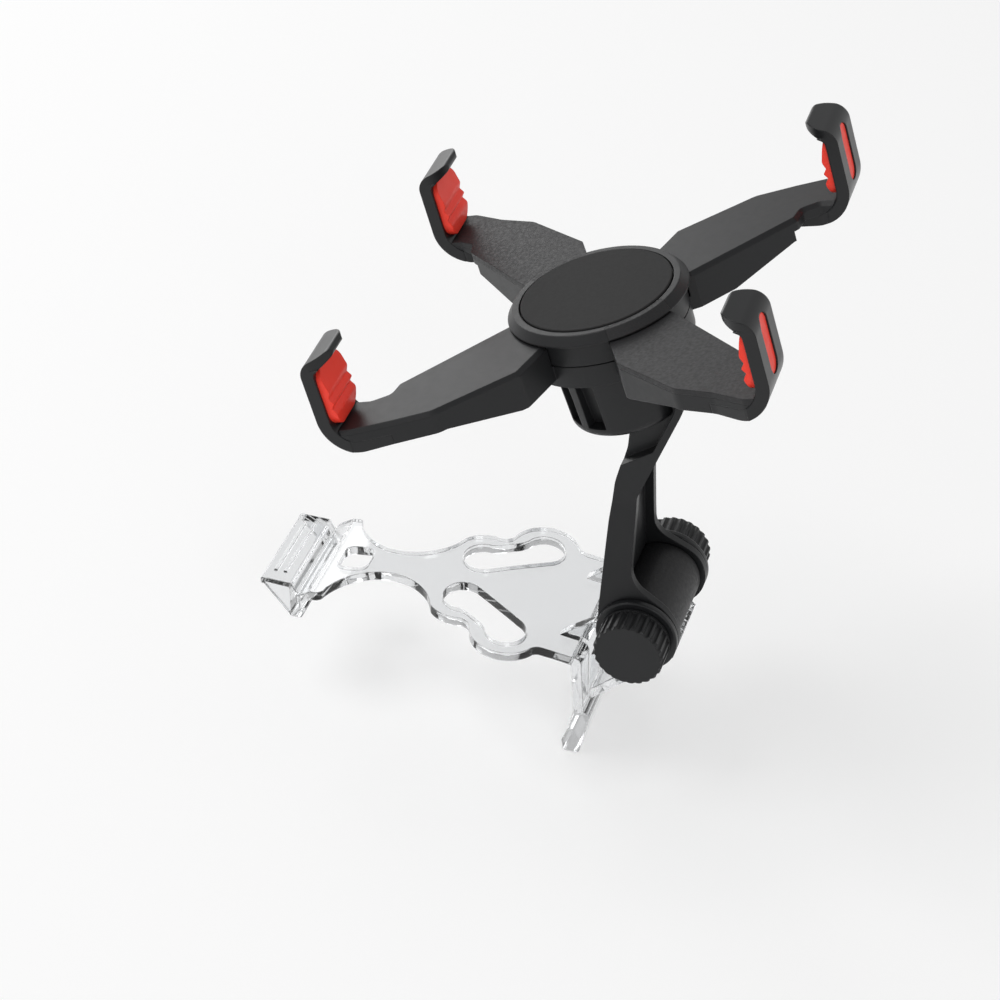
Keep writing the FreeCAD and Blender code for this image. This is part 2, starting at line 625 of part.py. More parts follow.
def saddle_bracket():
    deep = 6 * SADDLE_THICK
    centre_z = crown_z(CROWN_Y, 0) - CROWN_RADIUS
    start = Vector(-2 * TAIL_HALF, CROWN_Y, centre_z)
    band = Part.makeCylinder(CROWN_RADIUS + SADDLE_THICK, 4 * TAIL_HALF, start, Vector(1, 0, 0))
    band = band.cut(Part.makeCylinder(CROWN_RADIUS, 4 * TAIL_HALF, start, Vector(1, 0, 0)))
    slope_y = VALLEY_Y + VALLEY_RUN
    plan = saddle_plan().extrude(Vector(0, 0, 2 * deep))
    plan.translate(Vector(0, 0, -deep))
    keep = Part.makeBox(4 * TAIL_HALF, SADDLE_REAR_Y - REAR_WALL_THICK - slope_y, 2 * deep,
                        Vector(-2 * TAIL_HALF, slope_y, -deep))
    plate = band.common(plan.common(keep))
    nose_y = slope_y + NOSE_OVERLAP
    nose = side_prism([(nose_y, crown_z(nose_y, SADDLE_THICK), 0),
                       (VALLEY_Y, VALLEY_Z, 0), (VALLEY_Y, VALLEY_Z - SADDLE_THICK, 0),
                       (nose_y, crown_z(nose_y, 0), 0)], -NOSE_HALF, NOSE_HALF).common(plan)
    cutter = window_cutter()
    keyhole = plan_prism([(-KEYHOLE_HALF, KEYHOLE_FRONT_Y, KEYHOLE_ROUND),
                          (KEYHOLE_HALF, KEYHOLE_FRONT_Y, KEYHOLE_ROUND),
                          (KEYHOLE_HALF, KEYHOLE_REAR_Y, KEYHOLE_ROUND),
                          (-KEYHOLE_HALF, KEYHOLE_REAR_Y, KEYHOLE_ROUND)], -deep, deep)
    plate = plate.cut(cutter).cut(mirrored_x(cutter)).cut(keyhole)
    whole = joined([plate, nose, saddle_rear()] + saddle_front() + saddle_cradle())
    half = BARREL_HALF + BARREL_END_GAP
    whole = whole.cut(rod_x(BARREL_RADIUS + PRESS_GAP, -half, half))
    for hole in screw_holes():
        whole = whole.cut(hole)
    return whole


# Tilt hinge
EAR_IN = BARREL_HALF + WASHER_THICK + FACE_GAP
EAR_OUT = EAR_IN + EAR_THICK
COLLAR_OUT = EAR_OUT + COLLAR_THICK
KNOB_IN = COLLAR_OUT + FACE_GAP
KNOB_OUT = KNOB_IN + KNOB_LENGTH


def bolt_bore(half):
    """Room for the hinge bolt, out past both ends by a little."""
    return rod_x(BOLT_RADIUS + RUN_GAP, -half - CUT_OVER, half + CUT_OVER)


def hinge_barrel():
    barrel = rod_x(BARREL_RADIUS, -BARREL_HALF, BARREL_HALF)
    barrel = barrel.cut(bolt_bore(BARREL_HALF))
    for hole in screw_holes():
        barrel = barrel.cut(hole)
    return barrel


def friction_washer():
    """Right-hand washer between barrel and ear."""
    washer = rod_x(WASHER_RADIUS, BARREL_HALF, BARREL_HALF + WASHER_THICK)
    return washer.cut(bolt_bore(BARREL_HALF + WASHER_THICK))


def collar():
    """Right-hand ring between ear and knob, with a rounded rim."""
    ring = rod_x(COLLAR_RADIUS, EAR_OUT, COLLAR_OUT)
    rims = [edge for edge in ring.Edges if len(edge.Vertexes) == 1]
    ring = ring.makeFillet(COLLAR_ROUND, rims)
    return ring.cut(rod_x(BOLT_RADIUS + 2 * RUN_GAP, EAR_OUT - CUT_OVER, COLLAR_OUT + CUT_OVER))


def along_x(side):
    """Places a hexagon's corners round the hinge axis, on one side."""
    return lambda a, b, x: Vector(side * x, HINGE_Y + a, HINGE_Z + b)


def knob(side):
    """Fluted hand knob, drawn on the given side, with a pocket for nut or bolt head."""
    body = rod_x(KNOB_TIP_RADIUS, KNOB_IN, KNOB_OUT)
    end = [edge for edge in body.Edges if edge.BoundBox.XMin > KNOB_OUT - SAME_PLACE]
    body = body.makeChamfer(KNOB_EDGE, end)
    groove = 2 * math.pi * KNOB_TIP_RADIUS / KNOB_GROOVES * KNOB_GROOVE_SHARE
    centre_radius = KNOB_TIP_RADIUS - KNOB_GROOVE_DEPTH + groove
    cutters = []
    for step in range(KNOB_GROOVES):
        y, z = hinge_spot(360.0 * step / KNOB_GROOVES, centre_radius)
        start = Vector(KNOB_IN + KNOB_RIM, y, z)
        cutters.append(Part.makeCylinder(groove, 2 * KNOB_LENGTH, start, Vector(1, 0, 0)))
    body = body.cut(cutters)
    if side < 0:
        body = mirrored_x(body)
    pocket = BOLT_HEAD_THICK if side < 0 else NUT_THICK
    hexagonal = hexagon(BOLT_HEAD_FLATS, KNOB_IN - SAME_PLACE, KNOB_IN + pocket, along_x(side))
    return body.cut(hexagonal)


def hinge_bolt():
    """Bolt whose head sits in the left knob and whose thread ends in the right knob's nut."""
    head_out = KNOB_IN + BOLT_HEAD_THICK - PRESS_GAP
    head = hexagon(BOLT_HEAD_FLATS - 2 * PRESS_GAP, KNOB_IN, head_out, along_x(-1))
    shank = rod_x(BOLT_RADIUS, -KNOB_IN - WELD, KNOB_IN + NUT_THICK - BOLT_END_SINK)
    return joined([head, shank])


def knob_nut():
    nut_out = KNOB_IN + NUT_THICK - PRESS_GAP
    nut = hexagon(BOLT_HEAD_FLATS - 2 * PRESS_GAP, KNOB_IN, nut_out, along_x(1))
    return nut.cut(bolt_bore(KNOB_OUT))


# Support arm: foot, plate and neck from one side outline and one front outline
ARM_REAR_Y = ARM_FRONT_Y + ARM_THICK


def ear_corner():
    """Where the ear's rear tangent meets the plate's rear face, as Y and Z."""
    y, z = hinge_spot(EAR_TANGENT_DEG, EAR_RADIUS)
    return ARM_REAR_Y, z + (y - ARM_REAR_Y) / math.tan(math.radians(EAR_TANGENT_DEG))


def neck_top(v, drop):
    """Y and Z of a point under the lower hub, drop below its running gap."""
    return from_head(v, -LOWER_HUB_BOTTOM - FACE_GAP - drop)


def arm_side():
    """Side outline of the ears, the plate and the neck that leans under the cup."""
    shoulder_z = (ARM_SWELL_Z + ARM_KINK_Z) / 2
    swell, shoulder, start, lean = ARM_FRONT_ROUNDS
    inner = [(*from_head(v, rise - CUP_BOTTOM), 0) for v, rise in NECK_INNER]
    front = [(HINGE_Y - EAR_RADIUS, HINGE_Z, 0),
             (ARM_FRONT_Y, ARM_SWELL_Z, swell),
             (ARM_FRONT_Y + ARM_FRONT_SWELL, shoulder_z, shoulder),
             (ARM_FRONT_Y + NECK_FRONT_LEAN * NECK_START_SHARE, ARM_KINK_Z + NECK_START_RISE, start),
             (ARM_FRONT_Y + NECK_FRONT_LEAN, NECK_FRONT_Z, lean)]
    rear = [(*neck_top(NECK_INNER_TOP_V, NECK_TOP_DROP), 0),
            (*neck_top(NECK_BACK_V - NECK_TOP_STEP, NECK_TOP_DROP), NECK_TOP_ROUND),
            (*neck_top(NECK_BACK_V, NECK_BACK_DROP), NECK_BACK_ROUND),
            (ARM_REAR_Y + NECK_REAR_LEAN, NECK_REAR_Z, NECK_SLOPE_ROUND),
            (ARM_REAR_Y, ARM_KINK_Z, ARM_KINK_ROUND),
            (*ear_corner(), EAR_FILLET),
            (*hinge_spot(EAR_TANGENT_DEG, EAR_RADIUS), 0),
            (HINGE_Y, HINGE_Z, 0)]
    return front + inner + rear


def arm_front(foot_half, wall, top, top_round):
    """Front outline of the arm, in from its flared flanks by wall."""
    low = HINGE_Z - 2 * EAR_RADIUS
    left = [(-foot_half, low, 0),
            (-foot_half, ARM_FLARE_Z, ARM_FLARE_ROUND),
            (wall - ARM_SWELL_HALF, ARM_SWELL_Z, 2 * ARM_FLARE_ROUND),
            (wall - ARM_HALF, ARM_KINK_Z - NECK_FLANK_DROP, ARM_FLARE_ROUND),
            (wall - ARM_HALF, top, top_round)]
    return left + [(-x, z, radius) for x, z, radius in reversed(left)]


def rear_channel():
    """Opening between the ears that runs up the plate's rear face as a channel."""
    outline = arm_front(EAR_IN, CHANNEL_WALL, CHANNEL_TOP_Z, CHANNEL_ROUND)
    return front_prism(outline, ARM_REAR_Y - CHANNEL_DEPTH, HINGE_Y + 2 * EAR_RADIUS)


def foot_opening():
    """Space below the plate's foot, between the ears."""
    low = HINGE_Z - 2 * EAR_RADIUS
    foot = hinge_spot(ARM_FOOT_DEG, BARREL_RADIUS)[1]
    corner = Vector(-EAR_IN, HINGE_Y - 2 * EAR_RADIUS, low)
    return Part.makeBox(2 * EAR_IN, 4 * EAR_RADIUS, foot - low, corner)


def neck_pocket():
    """Right-hand recess of the neck: a step below, a rim behind, open at the front."""
    rim = POCKET_RIM
    run = (POCKET_REAR_Z - ARM_KINK_Z) / (NECK_REAR_Z - ARM_KINK_Z)
    rear = ARM_REAR_Y + NECK_REAR_LEAN * run - rim
    ahead = ARM_FRONT_Y - 2 * POCKET_DEPTH
    slope = (POCKET_REAR_Z - POCKET_FRONT_Z) / (rear - ARM_FRONT_Y)
    outline = [(ahead, POCKET_FRONT_Z + (ahead - ARM_FRONT_Y) * slope, 0),
               (rear, POCKET_REAR_Z, POCKET_ROUND),
               (ARM_REAR_Y + NECK_REAR_LEAN - rim, NECK_REAR_Z, NECK_SLOPE_ROUND - rim),
               (*neck_top(NECK_BACK_V - rim, NECK_BACK_DROP), 2 * POCKET_ROUND),
               (*neck_top(NECK_BACK_V - 2 * rim, POCKET_TOP_DROP), POCKET_ROUND),
               (*neck_top(-CUP_TOP_RADIUS, POCKET_TOP_DROP), 0),
               (ahead, NECK_FRONT_Z, 0)]
    return side_prism(outline, ARM_HALF - POCKET_DEPTH, ARM_HALF + POCKET_DEPTH)


def swivel_cup():
    """Cup drawn on the head's axis: a cone with blind flutes round its front."""
    top = -LOWER_HUB_BOTTOM - FACE_GAP
    middle = top - CUP_MID_DROP
    outside = turned([(0, top, 0), (CUP_TOP_RADIUS, top, CUP_TOP_ROUND),
                      (CUP_MID_RADIUS, middle, CUP_SIDE_ROUND),
                      (CUP_FOOT_RADIUS, -CUP_BOTTOM, CUP_FOOT_ROUND), (0, -CUP_BOTTOM, 0)])
    flutes = []
    for step in range(CUP_FLUTES):
        turn = (step - (CUP_FLUTES - 1) / 2) * CUP_FLUTE_PITCH_DEG - 90
        corner = Vector(CUP_MID_RADIUS - CUP_FLUTE_DEPTH, -CUP_FLUTE_WIDTH / 2,
                        top - CUP_FLUTE_DROP - CUP_FLUTE_HEIGHT)
        flute = Part.makeBox(4 * CUP_FLUTE_DEPTH, CUP_FLUTE_WIDTH, CUP_FLUTE_HEIGHT, corner)
        flute.rotate(Vector(CUP_MID_RADIUS, 0, top), Vector(0, 1, 0), CUP_FLUTE_LEAN_DEG)
        flute.rotate(Vector(0, 0, 0), Vector(0, 0, 1), turn)
        flutes.append(flute)
    return outside.cut(flutes)


def cup_hollow():
    top = -LOWER_HUB_BOTTOM - FACE_GAP
    room = CUP_FOOT_RADIUS - CUP_WALL
    low = -CUP_BOTTOM - CUT_OVER
    bore = rod_z(BOLT_RADIUS + RUN_GAP, low, top + CUT_OVER)
    return joined([rod_z(room, low, top - CUP_PLATE), bore])


def support_arm():
    body = joined([side_prism(arm_side(), -EAR_OUT, EAR_OUT), rod_x(EAR_RADIUS, -EAR_OUT, EAR_OUT)])
    top = HEAD_CENTRE[2]
    body = body.common(front_prism(arm_front(EAR_OUT, 0, top, 0), 0, HINGE_Y + 2 * EAR_RADIUS))
    for cutter in (rear_channel(), foot_opening(), neck_pocket(), mirrored_x(neck_pocket())):
        body = body.cut(cutter)
    whole = joined([body, to_head(swivel_cup())])
    whole = whole.cut(to_head(cup_hollow()))
    whole = whole.cut(rod_x(BARREL_RADIUS + BODY_GAP, -EAR_IN, EAR_IN))
    whole = whole.cut(bolt_bore(EAR_OUT))
    above = to_head(rod_z(4 * CUP_TOP_RADIUS, -LOWER_HUB_BOTTOM - FACE_GAP, 0))
    return whole.cut(above)


def cup_cap():
    rim = CUP_FOOT_RADIUS - CUP_WALL - PRESS_GAP
    top = CUP_CAP_THICK - CUP_BOTTOM
    return turned([(0, -CUP_BOTTOM, 0), (rim, -CUP_BOTTOM, CUP_TOP_ROUND), (rim, top, 0), (0, top, 0)])


# Head: hubs, ring and swivel hardware, drawn round the pad's centre
def centre_pad():
    return turned([(0, 0, 0), (PAD_RADIUS, 0, SMALL_ROUND),
                   (PAD_RADIUS, -PAD_THICK, 0), (0, -PAD_THICK, 0)])


def head_ring(inner):
    """Sloped ring round the pad, from the radius inner outwards."""
    flat = PAD_RADIUS + PAD_GAP + RING_FLAT
    rim = RING_RADIUS
    base = -RING_DROP - RING_SLOPE
    low = base - RING_RIM
    return turned([(inner, -RING_DROP, 0), (flat, -RING_DROP, SMALL_ROUND),
                   (rim, base, SMALL_ROUND), (rim, low, 0), (inner, low, 0)])


def swivel_head_top():
    return -PAD_THICK - SWIVEL_HEAD_SINK


def upper_hub():
    body = joined([rod_z(HUB_RADIUS, -UPPER_HUB_BOTTOM, -RING_DROP - WELD), head_ring(RING_INNER)])
    body = body.cut(rod_z(PAD_RADIUS + PAD_GAP, -PAD_THICK, CUT_OVER))
    floor = -PAD_THICK - UPPER_HUB_FLOOR
    low = -UPPER_HUB_BOTTOM - CUT_OVER
    room = rod_z(HUB_RADIUS - HUB_WALL, low, floor)
    return body.cut(room.cut(rod_z(BOSS_RADIUS, low, 0)))


def upper_bores():
    """Bolt hole and the hexagonal pocket for the bolt head under the pad."""
    pocket = hexagon(BOLT_HEAD_FLATS, swivel_head_top() - SWIVEL_HEAD_THICK, 0, Vector)
    return joined([pocket, rod_z(BOLT_RADIUS + RUN_GAP, -UPPER_HUB_BOTTOM - CUT_OVER, 0)])


def lower_hub_top():
    return -UPPER_HUB_BOTTOM - FACE_GAP


def lower_hub():
    top = lower_hub_top()
    body = rod_z(HUB_RADIUS, -LOWER_HUB_BOTTOM, top)
    above = top + CUT_OVER
    room = rod_z(HUB_RADIUS - HUB_WALL, -LOWER_HUB_BOTTOM + LOWER_HUB_FLOOR, above)
    return body.cut(room.cut(rod_z(BOSS_RADIUS, -LOWER_HUB_BOTTOM, above)))


def friction_ring():
    """Flat ring let into the lower hub's rim."""
    top = lower_hub_top()
    low = top - FRICTION_RING_THICK
    outer = HUB_RADIUS - FRICTION_RING_INSET
    inner = HUB_RADIUS - HUB_WALL + FRICTION_RING_INSET
    return rod_z(outer, low, top).cut(rod_z(inner, low - CUT_OVER, top + CUT_OVER))


def swivel_bolt():
    head_low = swivel_head_top() - SWIVEL_HEAD_THICK
    head = hexagon(BOLT_HEAD_FLATS - 2 * PRESS_GAP, head_low, swivel_head_top(), Vector)
    return joined([head, rod_z(BOLT_RADIUS, nut_top() - SWIVEL_NUT_THICK - SWIVEL_END, head_low + WELD)])


def washer_top():
    return -LOWER_HUB_BOTTOM - FACE_GAP - CUP_PLATE - FACE_GAP


def nut_top():
    return washer_top() - SWIVEL_WASHER_THICK - CONE_WASHER_THICK - CONE_WASHER_RISE


def swivel_washer():
    low = washer_top() - SWIVEL_WASHER_THICK
    washer = rod_z(SWIVEL_WASHER_RADIUS, low, washer_top())
    return washer.cut(rod_z(BOLT_RADIUS + RUN_GAP, low - CUT_OVER, 0))


def cone_washer():
    """Dished spring washer that keeps the swivel under load."""
    top = washer_top() - SWIVEL_WASHER_THICK
    low = top - CONE_WASHER_RISE
    bore = BOLT_RADIUS + RUN_GAP
    return turned([(bore, top, 0), (bore + CONE_WASHER_LAND, top, 0), (SWIVEL_WASHER_RADIUS, low, 0),
                   (SWIVEL_WASHER_RADIUS, low - CONE_WASHER_THICK, 0), (bore, top - CONE_WASHER_THICK, 0)])


def swivel_nut():
    low = nut_top() - SWIVEL_NUT_THICK
    nut = hexagon(BOLT_HEAD_FLATS, low, nut_top(), Vector)
    return nut.cut(rod_z(BOLT_RADIUS + RUN_GAP, low - CUT_OVER, 0))


# Bars, hooks and grips, drawn for the rear right arm
def root_spot(angle_deg):
    turn = math.radians(angle_deg)
    return BAR_ROOT_RADIUS * math.cos(turn), BAR_ROOT_RADIUS * math.sin(turn)


UPPER_CORNERS = (UPPER_SHOULDER, UPPER_ELBOW, UPPER_FOREARM, UPPER_INNER_NEAR, UPPER_INNER_FAR)
LOWER_CORNERS = (LOWER_SHOULDER, LOWER_ELBOW, LOWER_FOREARM, LOWER_INNER_NEAR, LOWER_INNER_FAR)


def bar_plan(corners, hook_u, inset):
    """Outline of one arm from hub to hook, in from its long edges by inset."""
    shoulder, elbow, forearm, near, far = corners
    corner_round, elbow_round, forearm_round, wrist_round = BAR_ROUNDS
    little, half = BAR_TAPER_SHARES
    side = hook_u + BAR_SIDE - inset
    inner_side = hook_u - BAR_SIDE + inset
    tip = HOOK_OUTER_V - HOOK_WALL / 2
    return [(*root_spot(BAR_OUTER_ROOT_DEG), 0),
            (shoulder[0] - inset, shoulder[1] + inset * little, corner_round),
            (elbow[0] - inset, elbow[1] + inset * half, elbow_round),
            (forearm[0] - inset, forearm[1], forearm_round),
            (side, BAR_WRIST_V, wrist_round),
            (side, tip, 0),
            (inner_side, tip, 0),
            (inner_side, far[1] + BAR_NOTCH_RUN, corner_round),
            (far[0] + BAR_NOTCH[0], far[1] + BAR_NOTCH[1], corner_round),
            (far[0], far[1] - inset, corner_round),
            (near[0], near[1] - inset * half, 0),
            (*root_spot(BAR_INNER_ROOT_DEG), 0)]


def hook_inner_v():
    return HOOK_OUTER_V - HOOK_WALL


def bar_arm(corners, hook_u, top):
    """One arm with its tongue inside the hook's band; top is the depth of its upper face."""
    block = plan_prism(bar_plan(corners, hook_u, 0), -BAR_DEEP, -top)
    near = HUB_RADIUS + BAR_RISE_START
    far = HUB_RADIUS + BAR_RISE_END
    low = -BAR_DEEP - CUT_OVER
    beyond = 4 * HUB_RADIUS
    slope = [(near, low, 0), (near, -BAR_DEEP, 0), (far, -BAR_SHALLOW, 0),
             (beyond, -BAR_SHALLOW, 0), (beyond, low, 0)]
    wedge = front_prism(slope, -beyond, beyond)
    wedge.rotate(Vector(0, 0, 0), Vector(0, 0, 1), BAR_TURN_DEG)
    return block.cut(wedge).cut(hook_clearance(hook_u)).cut(hook_screw_hole(hook_u))


def hook_profile():
    """Side outline of the hook in the head's V and H."""
    inner = hook_inner_v()
    start = HOOK_OUTER_V - HOOK_TUCK
    band_top = -BAR_SHALLOW + HOOK_BAND
    tip_v = HOOK_OUTER_V - HOOK_LIP_REACH
    tip_h = HOOK_WALL_TOP + HOOK_LIP_RISE
    run = math.hypot(HOOK_LIP_REACH, HOOK_LIP_RISE)
    across = (HOOK_LIP_RISE / run * HOOK_LIP_THICK, HOOK_LIP_REACH / run * HOOK_LIP_THICK)
    return [(start, -BAR_SHALLOW, 0),
            (HOOK_OUTER_V, -BAR_SHALLOW - HOOK_SAG, HOOK_TURN_RADIUS),
            (HOOK_OUTER_V, HOOK_WALL_TOP, HOOK_LIP_BEND),
            (tip_v, tip_h, HOOK_LIP_TIP_ROUND),
            (tip_v + across[0] * HOOK_LIP_TIP_SHARE, tip_h - across[1], HOOK_LIP_TIP_ROUND),
            (inner, HOOK_WALL_TOP - HOOK_LIP_THICK, HOOK_LIP_INNER_ROUND),
            (inner, band_top, hook_inner_turn()),
            (start, band_top, 0)]


def hook_clearance(hook_u):
    """Everything outside the arm's tongue, from the hook's band outwards."""
    start = (HOOK_OUTER_V - HOOK_TUCK) - PRESS_GAP
    inner = hook_inner_v() - PRESS_GAP
    top = -BAR_SHALLOW + HOOK_BAND
    low = -BAR_DEEP - 2 * CUT_OVER
    beyond = HOOK_OUTER_V + 2 * HOOK_WALL
    outline = [(start, low, 0), (beyond, low, 0), (beyond, 0, 0),
               (inner, 0, 0), (inner, top, hook_inner_turn()), (start, top, 0)]
    return side_prism(outline, hook_u - HOOK_WIDTH, hook_u + HOOK_WIDTH)


def hook_inner_turn():
    return HOOK_TURN_RADIUS - HOOK_WALL


def hook(corners, hook_u):
    """Band under the bar's end that follows its flank, then a wall and a lip with round corners."""
    left = hook_u - HOOK_WIDTH / 2
    right = hook_u + HOOK_WIDTH / 2
    start = HOOK_OUTER_V - HOOK_TUCK
    tip_v = HOOK_OUTER_V - HOOK_LIP_REACH - HOOK_LIP_OVER
    back = HOOK_OUTER_V + CUT_OVER
    body = side_prism(hook_profile(), left, right)
    lip = plan_prism([(left, back, 0), (right, back, 0), (right, tip_v, HOOK_LIP_ROUND),
                      (left, tip_v, HOOK_LIP_ROUND)], SLOT_HIGH, HOOK_WALL_TOP + 2 * HOOK_LIP_RISE)
    low = -2 * BAR_SHALLOW
    wrist = Vector(left, BAR_WRIST_V, low)
    wall = Part.makeBox(HOOK_WIDTH, back - BAR_WRIST_V, SLOT_HIGH - low, wrist)
    under = plan_prism(bar_plan(corners, hook_u, 0), low, 0)
    band = Part.makeBox(HOOK_WIDTH, back - start, -low, Vector(left, start, low)).common(under)
    body = body.common(joined([lip, wall, band]))
    for cutter in (window_slot(0), grip_seat(), hook_screw_hole(0)):
        body = body.cut(shifted(cutter, hook_u))
    return body


def window_slot(shrink):
    """Long hole through the hook's wall, where the grip shows outside."""
    half = SLOT_WIDTH / 2 - shrink
    ends = half * SLOT_END_SHARE
    outline = [(-half, SLOT_LOW + shrink, ends), (half, SLOT_LOW + shrink, ends),
               (half, SLOT_HIGH - shrink, ends), (-half, SLOT_HIGH - shrink, ends)]
    outside = HOOK_OUTER_V + CUT_OVER if shrink == 0 else hook_inner_v() + SLOT_FILL_DEPTH
    return front_prism(outline, hook_inner_v() - WELD, outside)


def grip_bottom():
    return -BAR_TOP + GRIP_BOTTOM_GAP


def grip_outline(grow):
    """Outline of the grip seen along the bar's length, widened by grow."""
    half = GRIP_WIDTH / 2 + grow
    low = grip_bottom() - grow
    high = GRIP_TOP + grow
    return [(-half, low, GRIP_LOW_ROUND), (half, low, GRIP_LOW_ROUND),
            (half, high, GRIP_HIGH_ROUND), (-half, high, GRIP_HIGH_ROUND)]


def grip_seat():
    """Shallow seat for the rubber grip in the inner face of the hook."""
    inner = hook_inner_v()
    return front_prism(grip_outline(PRESS_GAP), inner - 2 * HOOK_WALL, inner + GRIP_SEAT)


def grip():
    """Rubber grip: a ridged face inside and a tongue that fills the wall's long hole."""
    back = hook_inner_v() + GRIP_SEAT
    face_v = hook_inner_v() - GRIP_THICK
    bottom = grip_bottom()
    middle = (bottom + GRIP_TOP) / 2 - GRIP_GROOVE
    groove_v = face_v + GRIP_GROOVE
    upper, ridge, lower = [(face_v + v, middle + h) for v, h in GRIP_BULGES]
    side = [(back, bottom, 0), (back, GRIP_TOP, 0),
            (face_v + GRIP_TOP_LEAN, GRIP_TOP, GRIP_TOP_ROUND),
            (*upper, GRIP_BULGE_ROUND),
            (groove_v, middle + GRIP_GROOVE_RUN, SMALL_ROUND),
            (*ridge, GRIP_RIDGE_ROUND),
            (groove_v, middle - GRIP_GROOVE_RUN, SMALL_ROUND),
            (*lower, GRIP_BULGE_ROUND),
            (face_v + GRIP_FOOT_LEAN, bottom, GRIP_FOOT_ROUND)]
    half = GRIP_WIDTH / 2
    body = side_prism(side, -half, half)
    body = body.common(front_prism(grip_outline(0), face_v - GRIP_THICK, back + CUT_OVER))
    return joined([body, window_slot(PRESS_GAP)])


def hook_screw():
    """Screw up through the hook's band into the bar's end."""
    seat = -BAR_SHALLOW + HOOK_SCREW_HEAD_ROOM
    low = -BAR_SHALLOW + HOOK_SCREW_SINK
    head = rod_z(SCREW_HEAD_RADIUS - PRESS_GAP, low, seat, 0, HOOK_SCREW_PLACE)
    shank = rod_z(SCREW_RADIUS, seat - WELD, seat + HOOK_SCREW_LENGTH, 0, HOOK_SCREW_PLACE)
    slot = Part.makeBox(2 * SCREW_HEAD_RADIUS, SCREW_SLOT, SCREW_SLOT,
                        Vector(-SCREW_HEAD_RADIUS, HOOK_SCREW_PLACE - SCREW_SLOT / 2,
                               low - HOOK_SCREW_SINK / 2))
    return joined([head, shank]).cut(slot)


def hook_screw_hole(hook_u):
    seat = -BAR_SHALLOW + HOOK_SCREW_HEAD_ROOM
    end = seat + HOOK_SCREW_LENGTH + FACE_GAP
    shank = rod_z(SCREW_RADIUS, seat - CUT_OVER, end, hook_u, HOOK_SCREW_PLACE)
    room = rod_z(SCREW_HEAD_RADIUS, -BAR_SHALLOW - CUT_OVER, seat, hook_u, HOOK_SCREW_PLACE)
    return joined([shank, room])


def opposite(shape):
    """The same piece at the other end of a bar."""
    turned_shape = shape.copy()
    turned_shape.rotate(Vector(0, 0, 0), Vector(0, 0, 1), 180)
    return turned_shape


def upper_bar():
    """Bar from rear right to front left, with the ring; its arms lie under covers."""
    arm = bar_arm(UPPER_CORNERS, UPPER_HOOK_U, BAR_TOP + COVER_THICK)
    keep_out = rod_z(HUB_RADIUS + BODY_GAP, -BAR_DEEP - CUT_OVER, lower_hub_top() + FACE_GAP)
    arm = arm.cut(keep_out)
    body = joined([upper_hub(), arm, opposite(arm)])
    seat = cover_footprint(-COVER_INSET)
    body = body.cut(seat).cut(opposite(seat))
    return body.cut(upper_bores())


def lower_bar():
    """Bar from front right to rear left, below the ring, with chamfered top edges."""
    arm = bar_arm(LOWER_CORNERS, LOWER_HOOK_U, BAR_TOP)
    keep_out = rod_z(HUB_RADIUS + BODY_GAP, lower_hub_top(), 0)
    arm = chamfered_top(arm).cut(keep_out)
    arm = mirrored_y(arm)
    body = joined([lower_hub(), arm, opposite(arm)]).cut(friction_ring())
    return body.cut(rod_z(BOLT_RADIUS + RUN_GAP, -LOWER_HUB_BOTTOM - CUT_OVER, 0))


def chamfered_top(arm):
    """Breaks the arm's long upper edges."""
    edges = []
    for edge in arm.Edges:
        box = edge.BoundBox
        at_top = box.ZMin > -BAR_TOP - SAME_PLACE
        outside = math.hypot(box.XMin, box.YMin) > BAR_ROOT_RADIUS + SAME_PLACE
        along_tip = abs(box.YMax - box.YMin) < SAME_PLACE
        if at_top and outside and not along_tip:
            edges.append(edge)
    return arm.makeChamfer(BAR_EDGE, edges)


def cover_footprint(inset):
    """Space of one cover: the arm's upper layer and the ring's slope in front of it."""
    low = -BAR_TOP - COVER_THICK
    layer = plan_prism(bar_plan(UPPER_CORNERS, UPPER_HOOK_U, inset), low, 0)
    near = PAD_RADIUS + PAD_GAP + inset
    wedge = [(0, 0, 0)]
    for angle in COVER_SECTOR_DEGS:
        turn = math.radians(angle)
        wedge.append((2 * HUB_RADIUS * math.cos(turn), 2 * HUB_RADIUS * math.sin(turn), 0))
    sector = plan_prism(wedge, low, 0)
    sector = sector.common(rod_z(RING_RADIUS + 2 * CUT_OVER, low, 0))
    return joined([layer, sector]).cut(rod_z(near, low - CUT_OVER, CUT_OVER))


def bar_cover():
    """Textured cover plate whose root rises to the ring."""
    footprint = cover_footprint(0)
    low = -BAR_TOP - COVER_THICK
    plate = plan_prism(bar_plan(UPPER_CORNERS, UPPER_HOOK_U, 0), low, -BAR_TOP)
    root = rod_z(HUB_RADIUS, low, -RING_DROP - WELD)
    body = joined([head_ring(RING_INNER), plate, root]).common(footprint)
    return body.cut(hook_clearance(UPPER_HOOK_U))


def save(name, shape):
    """Writes one sub-part and prints what it is."""
    solids = shape if isinstance(shape, list) else shape.Solids
    whole = Part.makeCompound(solids) if len(solids) > 1 else solids[0]
    print(f"{name:20s} solids {len(solids)} valid {whole.isValid()} volume {whole.Volume:9.1f}")
    whole.exportStep(os.path.join("parts", name + ".step"))


def shifted(shape, u):
    moved = shape.copy()
    moved.translate(Vector(u, 0, 0))
    return moved


def at_rear_right(shape):
    return shape


def at_front_left(shape):
    return opposite(shape)


def at_front_right(shape):
    return mirrored_y(shape)


def at_rear_left(shape):
    return opposite(mirrored_y(shape))


HOOK_PLACES = {"rear_right": (at_rear_right, UPPER_CORNERS, UPPER_HOOK_U),
               "front_left": (at_front_left, UPPER_CORNERS, UPPER_HOOK_U),
               "front_right": (at_front_right, LOWER_CORNERS, LOWER_HOOK_U),
               "rear_left": (at_rear_left, LOWER_CORNERS, LOWER_HOOK_U)}


